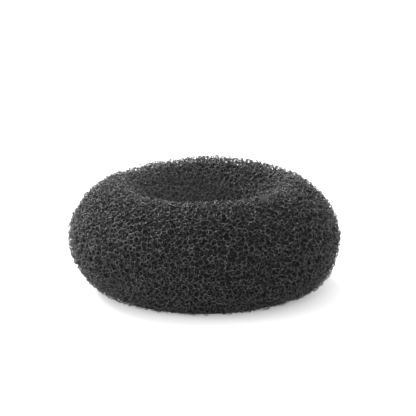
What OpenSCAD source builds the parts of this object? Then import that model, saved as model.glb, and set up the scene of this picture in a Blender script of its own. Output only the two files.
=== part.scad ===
// A soft ring of open net padding that hair is wound round to shape a bun.
// It lies on its foot with the hole upright: +Z up, the origin at the middle
// of the hole on the surface that the ring rests on. Millimetres.

/* [Ring] */
// Diameter across the outside of the padding
ring_d = 88; // [76:1:110]
// Diameter of the centre hole at its waist
hole_d = 35; // [20:1:44]
// Height of the crown above the surface that the ring rests on
ring_h = 37; // [26:1:46]

/* [Padding] */
// Where the crown stands across the padding, as a share from the hole outwards
crown_share = 0.38; // [0.3:0.01:0.6]
// Width of the flat band that the ring rests on
foot_w = 7; // [4:0.5:10]
// How far the shoulders are drawn in, as a share of the section's size
shoulder_draw = 0.055; // [0:0.005:0.08]
// How strongly the padding's lumps show, 0 for an even ring
lumpiness = 1; // [0:0.1:1.4]

/* [Smoothness] */
// Facets round the ring
facets_round = 96; // [48:12:120]
// Facets over the padding from one edge of the foot to the other
facets_over = 40; // [24:4:48]

/* [Hidden] */

padding_w = (ring_d - hole_d) / 2;
inner_w = padding_w * crown_share;
outer_w = padding_w - inner_w;
crown_r = hole_d / 2 + inner_w;

// Lumps of the padding, one row for each place round the ring. The azimuth is
// in degrees, anticlockwise from above, 0 at +X. outer and inner are shares of
// the two half-widths, crown is a share of the height, and heel is the share
// of shoulder_draw that the lower outer shoulder keeps.
AZIMUTH = 0;
OUTER = 1;
INNER = 2;
CROWN = 3;
HEEL = 4;
lumps = [
  // azimuth, outer, inner, crown, heel
  [  0, 1.000, 0.99, 0.985, 0.2],
  [ 30, 0.985, 0.97, 0.970, 0.8],
  [ 62, 1.000, 0.98, 0.990, 1.0],
  [ 88, 1.000, 1.00, 1.000, 1.0],
  [112, 0.985, 0.98, 0.975, 1.0],
  [145, 0.960, 0.96, 0.960, 1.0],
  [180, 1.000, 0.99, 0.985, 0.7],
  [215, 0.995, 1.00, 0.965, 0.5],
  [250, 0.990, 0.98, 0.968, 1.0],
  [275, 1.000, 1.00, 0.980, 1.0],
  [305, 1.000, 0.98, 0.980, 0.5],
  [332, 1.030, 0.97, 0.980, -0.6],
  [360, 1.000, 0.99, 0.985, 0.2],
];

// A smooth step from a to b as t goes from 0 to 1
function eased(a, b, t) = a + (b - a) * (1 - cos(180 * t)) / 2;

// The number in a column of the lumps at an azimuth, eased between rows
function lump(azimuth, column) =
  let (
    at = azimuth % 360,
    row = max([for (i = [0:len(lumps) - 2]) if (lumps[i][AZIMUTH] <= at) i]),
    from = lumps[row],
    to = lumps[row + 1],
    t = (at - from[AZIMUTH]) / (to[AZIMUTH] - from[AZIMUTH])
  )
  1 + lumpiness * (eased(from[column], to[column], t) - 1);

// How much of the plain oval's size is left at an angle round the section,
// drawn in most at the shoulders, by a share of shoulder_draw
function drawn_in(angle, share) = 1 - share * shoulder_draw * pow(sin(2 * angle), 2);

// Half of the angle that the foot takes out of the section's round, worked out
// in two steps because drawn_in depends on the angle that is looked for
foot_guess = asin(foot_w / padding_w);
foot_angle = asin(foot_w / padding_w / drawn_in(foot_guess, 1));
foot_drop = cos(foot_angle) * drawn_in(foot_angle, 1);

// One point of the section at an azimuth. angle runs anticlockwise round the
// section, 0 outwards and 90 at the crown.
function padding_point(azimuth, angle) =
  let (
    outwards = cos(angle) > 0,
    in_heel = outwards && sin(angle) < 0,
    keeps = in_heel ? lump(azimuth, HEEL) : 1,
    near_foot = max(0, -sin(angle)),
    share = keeps + (1 - keeps) * pow(near_foot, 4),
    size = drawn_in(angle, share),
    half_w = outwards ? outer_w * lump(azimuth, OUTER) : inner_w * lump(azimuth, INNER),
    r = crown_r + half_w * cos(angle) * size,
    z = ring_h * lump(azimuth, CROWN) * (sin(angle) * size + foot_drop) / (1 + foot_drop)
  )
  [r * cos(azimuth), r * sin(azimuth), max(z, 0)];

// The whole padding: a section at each azimuth, from the outer edge of the
// foot over the crown to the inner edge, and the flat foot between the two
module net_ring() {
  from = foot_angle - 90;
  turn = 360 - 2 * foot_angle;
  per_section = facets_over + 1;
  points = [
    for (i = [0:facets_round - 1], j = [0:facets_over])
      padding_point(360 * i / facets_round, from + turn * j / facets_over)
  ];
  faces = [
    for (i = [0:facets_round - 1], j = [0:facets_over])
      let (
        here = i * per_section,
        next = (i + 1) % facets_round * per_section,
        over = (j + 1) % per_section
      )
      [here + j, here + over, next + over, next + j]
  ];
  color("#2b2b2d")
    polyhedron(points, faces, convexity = 4);
}

net_ring();
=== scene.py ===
"""A black ring of open net sponge that hair is wound round to shape a bun.

The sponge is a net of fine strands round a dark heart. Bubbles of many sizes fill a
skin under the ring's form, as they do while such a sponge is poured, and the strands
run where the bubbles met. Lengths are in metres unless something else is said.
"""

import logging
import random
from bisect import bisect
from collections import defaultdict
from dataclasses import dataclass, field
from enum import Enum
from itertools import combinations
from math import atan2, cos, radians, sin, tau

import bmesh
import bpy
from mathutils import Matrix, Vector, noise
from mathutils.bvhtree import BVHTree
from mathutils.kdtree import KDTree


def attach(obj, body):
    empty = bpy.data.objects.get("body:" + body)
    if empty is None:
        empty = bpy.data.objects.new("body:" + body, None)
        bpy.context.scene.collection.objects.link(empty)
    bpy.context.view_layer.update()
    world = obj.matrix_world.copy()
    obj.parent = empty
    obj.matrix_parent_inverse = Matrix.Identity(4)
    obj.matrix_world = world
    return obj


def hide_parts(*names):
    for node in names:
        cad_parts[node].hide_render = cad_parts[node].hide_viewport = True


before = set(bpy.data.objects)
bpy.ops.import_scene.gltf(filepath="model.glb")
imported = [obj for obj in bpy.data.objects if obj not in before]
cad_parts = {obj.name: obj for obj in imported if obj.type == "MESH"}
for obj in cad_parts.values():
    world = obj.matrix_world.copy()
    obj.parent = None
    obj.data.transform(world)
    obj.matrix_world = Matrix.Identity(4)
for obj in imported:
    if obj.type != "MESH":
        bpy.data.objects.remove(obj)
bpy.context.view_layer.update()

MM = 0.001
BODY = "root"
RING_NODE = "net_ring"
PHOTO_SIDE = 416
WHITE = (1, 1, 1, 1)
# A whole turn is 1
HALF_TURN = 0.5
# How many bubbles meet at a corner of the net, and how many a strand runs between
AT_CORNER = 4
AT_STRAND = 3
# The name of the flat map laid on each stretch of the net
BAKE_MAP = "OFBake"
# What a net's points carry: how deep they lie in it, which sets the strands' painted
# shade, and a number of chance
PAINTED_SHADE_DEPTH = "deep"
TONE = "tone"
# Painted light: the hole's wall is coloured lighter round this place, where light falls
# in through the net from the back left, and from the nearer to the farther of these
# distances it goes over into the rest
HOLE_LIGHT_MIDDLE = (-4 * MM, 1 * MM, 22 * MM)
HOLE_LIGHT_REACH = (17 * MM, 30 * MM)

Colour = tuple[float, float, float]
Bubbles = tuple[int, ...]

log = logging.getLogger("hair_donut")


class Seed(Enum):
    """What each run of chance is for, and where it starts."""

    MIDDLES = 7
    TEARS = 3
    STRAYS = 11
    WIDTHS = 23


class Operation(Enum):
    """What shader maths does with its numbers."""

    ADD = "ADD"
    SUBTRACT = "SUBTRACT"
    MULTIPLY = "MULTIPLY"


class Blend(Enum):
    """How two colours go together."""

    MIX = "MIX"
    MULTIPLY = "MULTIPLY"


@dataclass
class SpongeForm:
    """The outer form of the sponge, read from the CAD ring.

    Attributes:
        node: The CAD ring.
        merged: How near two corners of its triangles lie to be one.
        shape: Its mesh, with the triangles merged.
        surface: A tree that finds the nearest place on it.
        faces: Its faces.
        area_up_to: The area of all faces up to each one.
        middle_reach: How far the middle of its section lies from its axis.
        middle_height: How high the middle of its section lies.
    """

    node: bpy.types.Object
    merged: float = 0.001 * MM
    shape: bmesh.types.BMesh = field(init=False)
    surface: BVHTree = field(init=False)
    faces: list[bmesh.types.BMFace] = field(init=False)
    area_up_to: list[float] = field(init=False)
    middle_reach: float = field(init=False)
    middle_height: float = field(init=False)

    def __post_init__(self) -> None:
        """Merges the ring's triangles and measures them."""
        self.shape = bmesh.new()
        self.shape.from_mesh(self.node.data)
        bmesh.ops.remove_doubles(self.shape, verts=self.shape.verts, dist=self.merged)
        self.shape.normal_update()
        self.surface = BVHTree.FromBMesh(self.shape)
        self.faces = list(self.shape.faces)
        self.area_up_to = []
        area = 0.0
        for face in self.faces:
            area += face.calc_area()
            self.area_up_to.append(area)
        reach = [vert.co.xy.length for vert in self.shape.verts]
        heights = [vert.co.z for vert in self.shape.verts]
        self.middle_reach = (min(reach) + max(reach)) / 2
        self.middle_height = max(heights) / 2

    def depth(self, point: Vector) -> float:
        """How deep a point lies under the surface.

        Args:
            point: A point in or near the ring.

        Returns:
            The depth, below zero outside.
        """
        nearest, normal, _, _ = self.surface.find_nearest(point)
        return (nearest - point).dot(normal)

    def draw_point(self, chance: random.Random, above: float, below: float) -> Vector:
        """Draws a point near the surface, evenly by area.

        Args:
            chance: The source of chance.
            above: The most that it may stand out of the surface.
            below: The most that it may lie under the surface.

        Returns:
            The point.
        """
        at = bisect(self.area_up_to, chance.random() * self.area_up_to[-1])
        face = self.faces[min(at, len(self.faces) - 1)]
        along, across = chance.random(), chance.random()
        if along + across > 1:
            along, across = 1 - along, 1 - across
        corner, one, other = (vert.co for vert in face.verts[:3])
        point = corner + (one - corner) * along + (other - corner) * across
        return point + face.normal * chance.uniform(-below, above)

    def turns(self, point: Vector) -> tuple[float, float]:
        """Where a point lies round the ring and round its section.

        Args:
            point: A point of the ring.

        Returns:
            The two places, each from 0 to 1.
        """
        outwards = point.xy.length - self.middle_reach
        up = point.z - self.middle_height
        round_ring = atan2(point.y, point.x) / tau
        round_section = atan2(-outwards, up) / tau
        return round_ring + HALF_TURN, round_section + HALF_TURN


@dataclass
class StrandNet:
    """The net as bare corners and the strands between them.

    A corner is known by the four bubbles that met there, and a strand by the three
    that it runs between.

    Attributes:
        width: The mean distance between the middles of two bubbles.
        spread: How far the bubbles' sizes go above and below it, as a share.
        depth: How deep the net goes half way up the ring.
        pressed: What depth is times on the floor, where the ring is pressed flat.
        pressed_up_to: Up to which height it is pressed, and its tufts are lower.
        bulges_at: From which height on all loops stand out in full.
        crowned: What depth is times at the crown, where the light comes through.
        crown: From which height to which it grows so.
        proud: How far its highest loops stand out of the form.
        crest: What that is times at the crown, in front and at the back.
        back: From where to where along Y the front goes over into the back.
        slack: How much lower the crown lies in front.
        evenly: How far all loops stand out, as a share of proud.
        tufts: How far apart the highest loops are.
        off_floor: The least height of a corner above the floor.
        guard: How far the bubbles go on past the net, so that its own are whole.
        tries: How many middles are tried for each one that may fit.
        neighbours: How many near middles shape a bubble.
        settling: How many times the corners are drawn to their neighbours' middle.
        pull: How far each time, as a share.
        stray: How far a corner then strays.
        torn: The share of the strands that are torn away.
        middles: The middles of the bubbles.
        corners: Where each corner is.
        strands: The two corners of each strand.
    """

    width: float = 1.22 * MM
    spread: float = 0.2
    depth: float = 2.0 * MM
    pressed: float = 0.3
    pressed_up_to: float = 9 * MM
    bulges_at: float = 1.5 * MM
    crowned: float = 1.25
    crown: tuple[float, float] = (20 * MM, 33 * MM)
    proud: float = 1.1 * MM
    crest: tuple[float, float] = (0.3, 1.1)
    back: tuple[float, float] = (-20 * MM, 15 * MM)
    slack: float = 0.6 * MM
    evenly: float = 0.4
    tufts: float = 1.6 * MM
    off_floor: float = 0.25 * MM
    guard: float = 1.8 * MM
    tries: float = 6.0
    neighbours: int = 30
    settling: int = 3
    pull: float = 0.5
    stray: float = 0.18 * MM
    torn: float = 0.03
    middles: list[Vector] = field(default_factory=list)
    corners: dict[Bubbles, Vector] = field(default_factory=dict)
    strands: dict[Bubbles, list[Bubbles]] = field(default_factory=dict)

    def depth_at(self, point: Vector) -> float:
        """How deep the net goes near a point.

        Args:
            point: The point.

        Returns:
            The depth.
        """
        low = share_between(point.z, 0.0, self.pressed_up_to)
        high = share_between(point.z, *self.crown)
        times = self.pressed + (1 - self.pressed) * low + (self.crowned - 1) * high
        return self.depth * times

    def height_at(self, point: Vector) -> float:
        """How far the net stands out of the form near a point.

        Args:
            point: The point.

        Returns:
            The height, below zero where the net falls short of the form.
        """
        loose = share_between(point.z, 0.0, self.pressed_up_to)
        full = share_between(point.z, 0.0, self.bulges_at)
        high = share_between(point.z, *self.crown)
        back = share_between(point.y, *self.back)
        crest = self.crest[0] * (1 - back) + self.crest[1] * back
        most = self.proud * (1 + (crest - 1) * high)
        tuft = noise.noise(point / self.tufts)
        loops = most * (self.evenly * full + tuft * loose)
        return loops - self.slack * high * (1 - back)

    def build(self, form: SpongeForm) -> None:
        """Makes the whole net under a form.

        Args:
            form: The form that the net fills.
        """
        self.blow_bubbles(form)
        self.find_corners()
        self.keep_skin(form)
        self.settle()
        log.info("%d bubbles, %d strands", len(self.middles), len(self.strands))

    def blow_bubbles(self, form: SpongeForm) -> None:
        """Fills the skin with the middles of bubbles, each with room for its size.

        Args:
            form: The form that the net fills.
        """
        chance = random.Random(Seed.MIDDLES.value)
        deepest = self.depth * self.crowned + self.guard
        room = form.area_up_to[-1] * (deepest + self.guard)
        drawn = [
            form.draw_point(chance, self.guard, deepest)
            for _ in range(int(self.tries * room / self.width**3))
        ]
        points = [
            point
            for point in drawn
            if form.depth(point) < self.depth_at(point) + self.guard
        ]
        count = len(points)
        sizes = [
            self.width * chance.uniform(1 - self.spread, 1 + self.spread)
            for _ in range(count)
        ]
        near = nearest_tree(points)
        widest = self.width * (1 + self.spread)
        taken = bytearray(count)
        for at, point in enumerate(points):
            found = near.find_range(point, (sizes[at] + widest) / 2)
            taken[at] = not any(
                taken[other] and away < (sizes[at] + sizes[other]) / 2
                for _, other, away in found
            )
        self.middles = [point for at, point in enumerate(points) if taken[at]]

    def find_corners(self) -> None:
        """Finds the corners, each of them the meeting of four bubbles."""
        near = nearest_tree(self.middles)
        for at, middle in enumerate(self.middles):
            around = near.find_n(middle, self.neighbours + 1)[1:]
            for others, offset in bubble_corners(middle, around, self.width):
                met = tuple(sorted((at, *others)))
                if met not in self.corners:
                    mean = sum((self.middles[i] for i in met), Vector()) / AT_CORNER
                    self.corners[met] = (middle + offset + mean) / 2

    def keep_skin(self, form: SpongeForm) -> None:
        """Drops what lies outside the skin, then what hangs free or by one strand.

        Args:
            form: The form that the net fills.
        """
        kept = {}
        for met, point in self.corners.items():
            if point.z < self.off_floor:
                continue
            if -self.height_at(point) < form.depth(point) < self.depth_at(point):
                kept[met] = point
        meeting = defaultdict(list)
        for met in kept:
            for strand in combinations(met, AT_STRAND):
                meeting[strand].append(met)
        chance = random.Random(Seed.TEARS.value)
        strands = {
            strand: ends
            for strand, ends in meeting.items()
            if len(ends) == 2 and chance.random() > self.torn
        }
        while True:
            held = defaultdict(int)
            for ends in strands.values():
                for end in ends:
                    held[end] += 1
            firm = {
                strand: ends
                for strand, ends in strands.items()
                if all(held[end] > 1 for end in ends)
            }
            if len(firm) == len(strands):
                break
            strands = firm
        self.strands = in_one_piece(strands)
        ends = corners_met(self.strands)
        self.corners = {met: point for met, point in kept.items() if met in ends}

    def settle(self) -> None:
        """Draws each whole corner towards its four neighbours, and lets all stray."""
        met_by = corners_met(self.strands)
        for _ in range(self.settling):
            moved = {}
            for met, others in met_by.items():
                here = self.corners[met]
                mean = sum((self.corners[o] for o in others), Vector()) / len(others)
                pull = self.pull if len(others) == AT_CORNER else 0.0
                moved[met] = here.lerp(mean, pull)
            self.corners = moved
        chance = random.Random(Seed.STRAYS.value)
        for corner in self.corners.values():
            way = Vector([chance.gauss(0, 1) for _ in corner])
            corner += way.normalized() * self.stray


def corners_met(strands: dict[Bubbles, list[Bubbles]]) -> dict[Bubbles, list[Bubbles]]:
    """Finds which corners each corner has a strand to.

    Args:
        strands: The two corners of each strand.

    Returns:
        The other corners for each of them.
    """
    met_by = defaultdict(list)
    for one, other in strands.values():
        met_by[one].append(other)
        met_by[other].append(one)
    return met_by


def in_one_piece(strands: dict[Bubbles, list[Bubbles]]) -> dict[Bubbles, list[Bubbles]]:
    """Drops the bits of a net that hang free of its largest part.

    Args:
        strands: The two corners of each strand.

    Returns:
        The strands of the largest part.
    """
    met_by = corners_met(strands)
    seen: set[Bubbles] = set()
    largest: set[Bubbles] = set()
    for start in met_by:
        if start in seen:
            continue
        part = {start}
        ahead = [start]
        while ahead:
            fresh = [corner for corner in met_by[ahead.pop()] if corner not in part]
            part.update(fresh)
            ahead.extend(fresh)
        seen |= part
        largest = max(largest, part, key=len)
    return {strand: ends for strand, ends in strands.items() if ends[0] in largest}


def share_between(number: float, low: float, high: float) -> float:
    """Where a number lies from low to high, as 0 to 1, and no further.

    Args:
        number: The number.
        low: What becomes 0.
        high: What becomes 1.

    Returns:
        The share.
    """
    return min(max((number - low) / (high - low), 0.0), 1.0)


def nearest_tree(points: list[Vector]) -> KDTree:
    """A tree that finds the nearest of some points.

    Args:
        points: The points.

    Returns:
        The tree, ready to be asked.
    """
    tree = KDTree(len(points))
    for at, point in enumerate(points):
        tree.insert(point, at)
    tree.balance()
    return tree


def bubble_corners(
    middle: Vector, around: list[tuple[Vector, int, float]], scale: float
) -> list[tuple[list[int], Vector]]:
    """Finds the corners of the bubble round one middle.

    Turned inside out about the middle, the near middles span a hull, and each of
    its triangles stands for a corner where the bubble meets three others.

    Args:
        middle: The bubble's middle.
        around: The near middles, each with its number and distance.
        scale: A length to measure in, so that the hull is about 1 across.

    Returns:
        For each corner, the numbers of the three others and its offset.
    """
    # A side of the hull that passes nearer to the middle than this stands for a
    # corner far outside the near middles, which isn't a real one
    nearest = 0.2
    hull = bmesh.new()
    numbers = []
    for point, number, _ in around:
        offset = (point - middle) / scale
        hull.verts.new(offset / offset.length_squared)
        numbers.append(number)
    hull.verts.index_update()
    bmesh.ops.convex_hull(hull, input=hull.verts)
    corners = []
    for face in hull.faces:
        face.normal_update()
        away = face.normal.dot(face.verts[0].co)
        if away > nearest:
            others = [numbers[vert.index] for vert in face.verts]
            corners.append((others, face.normal * (scale / (2 * away))))
    hull.free()
    return corners


class Value:
    """A number in a shader, so that shader maths reads as plain maths."""

    def __init__(self, desk: "FinishDesk", socket: bpy.types.NodeSocket) -> None:
        """Wraps a socket.

        Args:
            desk: The desk whose material it is in.
            socket: The output that gives the number.
        """
        self.desk = desk
        self.socket = socket

    def maths(self, operation: Operation, *terms: "Value | float") -> "Value":
        """Adds a Math node.

        Args:
            operation: What it does.
            terms: What it works on.

        Returns:
            Its result.
        """
        settings = {"operation": operation.value}
        return Value(self.desk, self.desk.node("Math", settings, dict(enumerate(terms))))

    def __add__(self, other: "Value | float") -> "Value":
        """The sum."""
        return self.maths(Operation.ADD, self, other)

    def __sub__(self, other: "Value | float") -> "Value":
        """The difference."""
        return self.maths(Operation.SUBTRACT, self, other)

    def __rsub__(self, other: float) -> "Value":
        """The difference from a plain number."""
        return self.maths(Operation.SUBTRACT, other, self)

    def __mul__(self, other: "Value | float") -> "Value":
        """The product."""
        return self.maths(Operation.MULTIPLY, self, other)

    __radd__ = __add__
    __rmul__ = __mul__

    def between(self, low: float, high: float) -> "Value":
        """The number from low to high, as 0 to 1, and no further.

        Args:
            low: What becomes 0.
            high: What becomes 1.

        Returns:
            The new number.
        """
        ends = {"Value": self, "From Min": low, "From Max": high}
        return Value(self.desk, self.desk.node("MapRange", {"clamp": True}, ends))


class FinishDesk:
    """Where one material is put together.

    Attributes:
        mix_first: Which input of a Mix node takes its first colour.
        mix_second: Which input takes its second colour.
        mix_result: Which output gives the colours' mixture.
        cloud_layers: How many finer layers the clouds have.
    """

    mix_first: int = 6
    mix_second: int = 7
    mix_result: int = 2
    cloud_layers: float = 2.0

    def __init__(self, name: str) -> None:
        """Starts a material with its shader.

        Args:
            name: The material's name.
        """
        self.material = bpy.data.materials.new(name)
        self.material.use_nodes = True
        self.tree = self.material.node_tree
        self.shader = self.tree.nodes["Principled BSDF"]

    def connect(self, socket: bpy.types.NodeSocket, given: object) -> None:
        """Gives a socket a plain value or another socket's output.

        Args:
            socket: The input.
            given: The value, output or wrapped number.
        """
        if isinstance(given, Value):
            given = given.socket
        if isinstance(given, bpy.types.NodeSocket):
            self.tree.links.new(given, socket)
        else:
            socket.default_value = given

    def node(
        self,
        kind: str,
        settings: dict[str, object],
        inputs: dict[str | int, object],
        output: str | int = 0,
    ) -> bpy.types.NodeSocket:
        """Adds a node.

        Args:
            kind: Its type, without the word ShaderNode.
            settings: Its settings, which are set first.
            inputs: A value or an output for each of its sockets.
            output: Which of its outputs is wanted.

        Returns:
            That output.
        """
        made = self.tree.nodes.new("ShaderNode" + kind)
        for name, given in settings.items():
            setattr(made, name, given)
        for name, given in inputs.items():
            self.connect(made.inputs[name], given)
        return made.outputs[output]

    def place(self) -> bpy.types.NodeSocket:
        """The place on the piece, in metres."""
        return self.node("TexCoord", {}, {}, "Object")

    def painted_hole_light(self) -> Value:
        """How much a place takes the painted light on the hole's wall.

        Returns:
            The share, from 1 half way up the hole to 0 at the crown.
        """
        settings = {"operation": "DISTANCE"}
        ends = {0: self.place(), 1: HOLE_LIGHT_MIDDLE}
        away = Value(self, self.node("VectorMath", settings, ends, "Value"))
        return 1 - away.between(*HOLE_LIGHT_REACH)

    def clouds(self, size: float) -> Value:
        """Soft clouds of chance through the piece.

        Args:
            size: How far apart the clouds are.

        Returns:
            The clouds, from 0 to 1 and mostly near the middle.
        """
        inputs = {"Vector": self.place(), "Scale": 1 / size, "Detail": self.cloud_layers}
        return Value(self, self.node("TexNoise", {}, inputs, "Fac"))

    def bubble_walls(self, width: float) -> Value:
        """How far a place is from the walls between bubbles.

        Args:
            width: The bubbles' mean width.

        Returns:
            The distance, as a share of the width.
        """
        settings = {"feature": "DISTANCE_TO_EDGE"}
        inputs = {"Vector": self.place(), "Scale": 1 / width}
        return Value(self, self.node("TexVoronoi", settings, inputs, "Distance"))

    def attribute(self, name: str) -> Value:
        """A number that the piece's points carry."""
        return Value(self, self.node("Attribute", {"attribute_name": name}, {}, "Fac"))

    def colour(
        self, first: object, second: object, share: Value | float, blend: Blend
    ) -> bpy.types.NodeSocket:
        """Puts two colours together.

        Args:
            first: The first colour, plain or an output.
            second: The second colour, plain or an output.
            share: How much of the second there is.
            blend: How they go together.

        Returns:
            The new colour.
        """
        inputs = {"Factor": share}
        for at, given in ((self.mix_first, first), (self.mix_second, second)):
            inputs[at] = (*given, 1) if isinstance(given, tuple) else given
        settings = {"data_type": "RGBA", "blend_type": blend.value}
        return self.node("Mix", settings, inputs, self.mix_result)

    def relief(self, height: Value, most: float) -> bpy.types.NodeSocket:
        """Relief that is shaded and not shaped.

        Args:
            height: The height, from 0 to 1.
            most: How high 1 stands.

        Returns:
            The normal.
        """
        return self.node("Bump", {}, {"Height": height, "Distance": most})

    def finish(self, **given: object) -> bpy.types.Material:
        """Sets the shader's sockets.

        Args:
            given: A value or an output for each, named with _ for a space.

        Returns:
            The material.
        """
        for name, value in given.items():
            self.connect(self.shader.inputs[name.replace("_", " ")], value)
        return self.material


@dataclass(frozen=True)
class StrandFinish:
    """Black sponge strands with painted glints, painted shade deep in the net and
    painted light on the hole's wall.

    Attributes:
        dark: The colour of the darker strands.
        light: The colour of the lighter strands, and of the painted glints and the
            painted light on the hole's wall.
        deep: What is left of the colour deep in the net, as painted shade.
        painted_shade_depths: Where the painted shade begins and stops to deepen, as
            shares of the depth.
        painted_light_share: How much nearer to the light colour the hole's wall is, as
            painted light.
        even: How much less that wall's painted shade deepens with depth, as a share.
        glint_spacing: How far apart the painted glints along a strand are.
        edge: Between which heights of the glint clouds a painted glint sets in.
        glinting: How much nearer to the light colour a painted glint is.
        varied: How much the strands differ from each other in the same way.
        rough: The least and the most roughness.
        shine: How strongly the strands mirror the light.
    """

    dark: Colour = (0.0047, 0.0047, 0.0053)
    light: Colour = (0.0665, 0.066, 0.069)
    deep: Colour = (0.14, 0.14, 0.147)
    painted_shade_depths: tuple[float, float] = (0.05, 0.5)
    painted_light_share: float = 0.5
    even: float = 1.0
    glint_spacing: float = 0.5 * MM
    edge: tuple[float, float] = (0.43, 0.57)
    glinting: float = 0.8
    varied: float = 0.15
    rough: tuple[float, float] = (0.28, 0.48)
    shine: float = 0.2

    def make(self) -> bpy.types.Material:
        """Makes the material.

        Returns:
            The material.
        """
        desk = FinishDesk("sponge_strands")
        # Painted light: the hole's wall is coloured lighter, where light falls through
        # the net
        wall = desk.painted_hole_light()
        # Painted glints: spots along the strands are coloured lighter as highlights, and
        # made smoother
        glint = desk.clouds(self.glint_spacing).between(*self.edge)
        share = glint * self.glinting + desk.attribute(TONE) * self.varied
        share = share + wall * self.painted_light_share
        shade = desk.colour(self.dark, self.light, share, Blend.MIX)
        # Painted shade: the colour darkens deeper in the net, less so on the hole's wall
        painted_depth_shade = desk.attribute(PAINTED_SHADE_DEPTH).between(*self.painted_shade_depths) * (1 - wall * self.even)
        shade = desk.colour(shade, self.deep, painted_depth_shade, Blend.MULTIPLY)
        smooth, dull = self.rough
        return desk.finish(
            Base_Color=shade,
            Roughness=dull - glint * (dull - smooth),
            Specular_IOR_Level=self.shine,
        )


@dataclass(frozen=True)
class HeartFinish:
    """The dark inside of the sponge, where only hints of strands are seen, its black
    darkened further with painted shade as deep strands are.

    Attributes:
        width: The mean width of its bubbles.
        hole: The colour of the holes, darker as painted shade.
        strand: The colour of the strands between them.
        strand_share: Between which shares of a bubble's width a strand fades.
        wall: The painted light colour in the hole's wall, where light falls through the
            net.
        painted_light_share: How much of that painted light there is half way up the
            hole.
        relief: How far the strands stand up.
        rough: The roughness of the strands and of the holes.
        shine: How strongly it mirrors the light.
    """

    width: float = 1.9 * MM
    hole: Colour = (0.0036, 0.0036, 0.0038)
    strand: Colour = (0.0090, 0.0090, 0.0095)
    strand_share: tuple[float, float] = (0.02, 0.14)
    wall: Colour = (0.034, 0.034, 0.035)
    painted_light_share: float = 0.75
    relief: float = 0.4 * MM
    rough: tuple[float, float] = (0.7, 0.9)
    shine: float = 0.07

    def make(self) -> bpy.types.Material:
        """Makes the material.

        Returns:
            The material.
        """
        desk = FinishDesk("sponge_heart")
        strand = 1 - desk.bubble_walls(self.width).between(*self.strand_share)
        # Painted shade: the holes between the heart's strands are coloured darker
        shade = desk.colour(self.hole, self.strand, strand, Blend.MIX)
        # Painted light on the hole's wall, where light falls through the net
        painted_light_share = desk.painted_hole_light() * self.painted_light_share
        smooth, dull = self.rough
        return desk.finish(
            Base_Color=desk.colour(shade, self.wall, painted_light_share, Blend.MIX),
            Roughness=dull - strand * (dull - smooth),
            Normal=desk.relief(strand, self.relief),
            Specular_IOR_Level=self.shine,
        )


@dataclass(frozen=True)
class FloorFinish:
    """A plain pale sheet, lit a little from below as on a light table.

    Attributes:
        pale: Its colour.
        glow: How strongly it shines.
    """

    pale: Colour = (0.50, 0.50, 0.50)
    glow: float = 0.26

    def make(self) -> bpy.types.Material:
        """Makes the material.

        Returns:
            The material.
        """
        desk = FinishDesk("studio_floor")
        return desk.finish(
            Base_Color=(*self.pale, 1),
            Roughness=1.0,
            Specular_IOR_Level=0.0,
            Emission_Color=WHITE,
            Emission_Strength=self.glow,
        )


def show(
    mesh: bmesh.types.BMesh, name: str, material: bpy.types.Material
) -> bpy.types.Object:
    """Makes an object of a mesh.

    Args:
        mesh: The mesh, which is used up.
        name: The object's name.
        material: Its material.

    Returns:
        The object.
    """
    data = bpy.data.meshes.new(name)
    mesh.to_mesh(data)
    mesh.free()
    data.shade_smooth()
    data.materials.append(material)
    made = bpy.data.objects.new(name, data)
    bpy.context.scene.collection.objects.link(made)
    return made


def declare(piece: bpy.types.Object) -> None:
    """Says what a piece of the sponge rides on.

    Args:
        piece: The piece.
    """
    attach(piece, BODY)
    triangles = sum(len(face.vertices) - 2 for face in piece.data.polygons)
    log.info("%s: %d triangles", piece.name, triangles)


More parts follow.
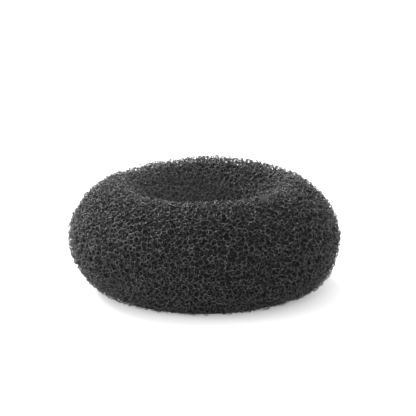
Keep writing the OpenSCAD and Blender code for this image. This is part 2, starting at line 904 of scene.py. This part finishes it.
@dataclass
class SpongeSkin:
    """The open net round the heart, made in stretches round the ring.

    Attributes:
        form: The form that it fills.
        net: Its corners and strands.
        stretches: How many stretches it is made in.
        strand: How far a strand's edges are from its middle line, at the outside.
        spread: How far that goes above and below it, as a share.
        swelling: How much thicker the deepest strands are, since each of them
            stands for the ones behind it too.
        thinning: How much thinner the strands are that stand out furthest.
        margin: How much of its map each stretch leaves free on every side.
        finish: How it is finished.
    """

    form: SpongeForm
    net: StrandNet = field(default_factory=StrandNet)
    stretches: int = 6
    strand: float = 0.086 * MM
    spread: float = 0.35
    swelling: float = 1.3
    thinning: float = 0.65
    margin: float = 0.04
    finish: StrandFinish = StrandFinish()

    def build(self) -> None:
        """Makes every stretch of the net as a piece."""
        self.net.build(self.form)
        material = self.finish.make()
        lots = defaultdict(list)
        for strand, (one, other) in self.net.strands.items():
            middle = (self.net.corners[one] + self.net.corners[other]) / 2
            around = self.form.turns(middle)[0] * self.stretches
            lots[int(around) % self.stretches].append(strand)
        for at in range(self.stretches):
            mesh = self.skin_strands(lots[at])
            self.lay_map(mesh, at)
            declare(show(mesh, f"sponge_net_{at + 1}", material))

    def skin_strands(self, strands: list[Bubbles]) -> bmesh.types.BMesh:
        """Gives some of the strands their thickness.

        Each corner is a small tetrahedron with a tip towards each of its bubbles. A
        strand is the three-sided tube between two of them.

        Args:
            strands: The strands.

        Returns:
            The closed mesh.
        """
        chance = random.Random(Seed.WIDTHS.value)
        mesh = bmesh.new()
        mesh.verts.layers.float.new(PAINTED_SHADE_DEPTH)
        mesh.verts.layers.float.new(TONE)
        tips: dict[Bubbles, dict[int, bmesh.types.BMVert]] = {}
        joined = set()
        for strand in strands:
            ends = self.net.strands[strand]
            for end in ends:
                if end not in tips:
                    tips[end] = self.add_corner(mesh, end, chance)
                joined.add((end, strand))
            one, other = (tips[end] for end in ends)
            for a, b in combinations(strand, 2):
                mesh.faces.new((one[a], one[b], other[b], other[a]))
        for end, its_tips in tips.items():
            for side in combinations(end, AT_STRAND):
                if (end, side) not in joined:
                    mesh.faces.new([its_tips[bubble] for bubble in side])
        bmesh.ops.recalc_face_normals(mesh, faces=mesh.faces)
        return mesh

    def add_corner(
        self, mesh: bmesh.types.BMesh, end: Bubbles, chance: random.Random
    ) -> dict[int, bmesh.types.BMVert]:
        """Adds a corner's four tips.

        Args:
            mesh: The mesh to add to.
            end: The corner, as its four bubbles.
            chance: The source of chance.

        Returns:
            Each bubble's tip.
        """
        here = self.net.corners[end]
        depth = self.form.depth(here)
        # How deep the corner lies, as a share: it thickens the deep strands and sets
        # their painted shade
        deep = share_between(depth, 0.0, self.net.depth_at(here))
        free = share_between(-depth, 0.0, self.net.proud)
        reach = self.strand * chance.uniform(1 - self.spread, 1 + self.spread)
        reach *= 1 + self.swelling * deep - self.thinning * free
        tone = chance.random()
        tips = {}
        for bubble in end:
            towards = (self.net.middles[bubble] - here).normalized()
            tips[bubble] = mesh.verts.new(here + towards * reach)
            tips[bubble][mesh.verts.layers.float[PAINTED_SHADE_DEPTH]] = deep
            tips[bubble][mesh.verts.layers.float[TONE]] = tone
        return tips

    def lay_map(self, mesh: bmesh.types.BMesh, at: int) -> None:
        """Lays a flat map round the ring and round its section.

        Args:
            mesh: The mesh of a stretch.
            at: The stretch's number.
        """
        layer = mesh.loops.layers.uv.new(BAKE_MAP)
        margin = Vector((self.margin, self.margin))
        for face in mesh.faces:
            round_ring, round_section = self.form.turns(face.calc_center_median())
            for loop in face.loops:
                here = self.form.turns(loop.vert.co)
                along = round_ring + wrapped(here[0] - round_ring)
                over = round_section + wrapped(here[1] - round_section)
                place = Vector((along * self.stretches - at, over))
                loop[layer].uv = place * (1 - 2 * self.margin) + margin


def wrapped(turn: float) -> float:
    """The shorter way round, between minus a half and a half turn."""
    return (turn + HALF_TURN) % 1 - HALF_TURN


@dataclass
class SpongeHeart:
    """The dense inside of the sponge, under the net.

    Attributes:
        form: The ring's outer form.
        net: The net that it lies under.
        finish: How it is finished.
    """

    form: SpongeForm
    net: StrandNet
    finish: HeartFinish = HeartFinish()

    def build(self) -> None:
        """Makes the heart and lets it stand for the CAD ring."""
        mesh = self.form.shape.copy()
        mesh.normal_update()
        inwards = {vert: -vert.normal for vert in mesh.verts}
        for vert, way in inwards.items():
            vert.co += way * self.net.depth_at(vert.co)
        heart = show(mesh, "sponge_heart", self.finish.make())
        declare(heart)
        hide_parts(RING_NODE)


@dataclass(frozen=True)
class SoftLamp:
    """A wide lamp far off, so that it shines evenly on the ring and the floor.

    Attributes:
        name: Its name.
        azimuth: Where it stands round the ring, in degrees from the right.
        elevation: How high it stands, in degrees.
        width: How wide it looks from the ring, in degrees.
        strength: Its strength.
    """

    name: str
    azimuth: float
    elevation: float
    width: float
    strength: float

    def hang(self) -> None:
        """Hangs the lamp."""
        light = bpy.data.lights.new(self.name, "SUN")
        light.angle = radians(self.width)
        light.energy = self.strength
        round_ring = radians(self.azimuth)
        rise = radians(self.elevation)
        level = Vector((cos(round_ring), sin(round_ring), 0))
        towards = level * cos(rise) + Vector((0, 0, sin(rise)))
        lamp = bpy.data.objects.new(self.name, light)
        lamp.location = towards
        lamp.rotation_euler = towards.to_track_quat("Z", "Y").to_euler()
        bpy.context.scene.collection.objects.link(lamp)


@dataclass
class Studio:
    """A pale floor, an even light all round and soft lamps.

    Attributes:
        floor: Half the floor's side.
        surround: The strength of the even light.
        lamps: The lamps.
        finish: How the floor is finished.
    """

    floor: float = 3.0
    surround: float = 2.0
    lamps: tuple[SoftLamp, ...] = (
        SoftLamp("key", azimuth=130, elevation=50, width=40, strength=9.8),
        SoftLamp("left", azimuth=190, elevation=14, width=30, strength=2.6),
        SoftLamp("front", azimuth=268, elevation=22, width=30, strength=2.5),
    )
    finish: FloorFinish = FloorFinish()

    def build(self) -> None:
        """Makes the floor and the light."""
        scene = bpy.context.scene
        scene.view_settings.view_transform = "Standard"
        scene.world = bpy.data.worlds.new("studio")
        scene.world.use_nodes = True
        sky = scene.world.node_tree.nodes["Background"]
        sky.inputs["Color"].default_value = WHITE
        sky.inputs["Strength"].default_value = self.surround
        sheet = bmesh.new()
        bmesh.ops.create_grid(sheet, x_segments=1, y_segments=1, size=self.floor)
        show(sheet, "studio_floor", self.finish.make())
        for lamp in self.lamps:
            lamp.hang()


@dataclass
class PhotoCamera:
    """The camera that took the photograph.

    Attributes:
        aim: The middle of the ring.
        seen_at: Where the photograph shows that point, in pixels.
        elevation: How far above the floor it looks from, in degrees.
        distance: How far away it stands.
        pixels_per_metre: The photograph's scale at the ring's middle.
        sensor: The sensor's width, in millimetres.
    """

    aim: Vector
    seen_at: tuple[float, float] = (204.2, 231.0)
    elevation: float = 15.5
    distance: float = 0.6
    pixels_per_metre: float = 3085.0
    sensor: float = 36.0

    def build(self) -> None:
        """Sets the camera up, turned so that the ring stands where it was seen."""
        rise = radians(self.elevation)
        back = Vector((0, -cos(rise), sin(rise)))
        up = Vector((0, sin(rise), cos(rise)))
        across = PHOTO_SIDE / 2 - self.seen_at[0]
        above = self.seen_at[1] - PHOTO_SIDE / 2
        shown = self.aim + up * (above / self.pixels_per_metre)
        shown.x += across / self.pixels_per_metre
        lens = bpy.data.cameras.new("photo_camera")
        lens.sensor_width = self.sensor
        lens.lens = self.pixels_per_metre * self.distance * self.sensor / PHOTO_SIDE
        camera = bpy.data.objects.new("photo_camera", lens)
        camera.location = self.aim + back * self.distance
        look = shown - camera.location
        camera.rotation_euler = look.to_track_quat("-Z", "Y").to_euler()
        bpy.context.scene.collection.objects.link(camera)
        bpy.context.scene.camera = camera


def main() -> None:
    """Builds the dressed ring and its studio."""
    logging.basicConfig(level=logging.INFO, format="%(name)s: %(message)s")
    form = SpongeForm(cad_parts[RING_NODE])
    middle = Vector((0, 0, form.middle_height))
    PhotoCamera(middle).build()
    skin = SpongeSkin(form)
    skin.build()
    SpongeHeart(form, skin.net).build()
    Studio().build()
    log.info("studio and camera are set up")


if __name__ == "__main__":
    main()
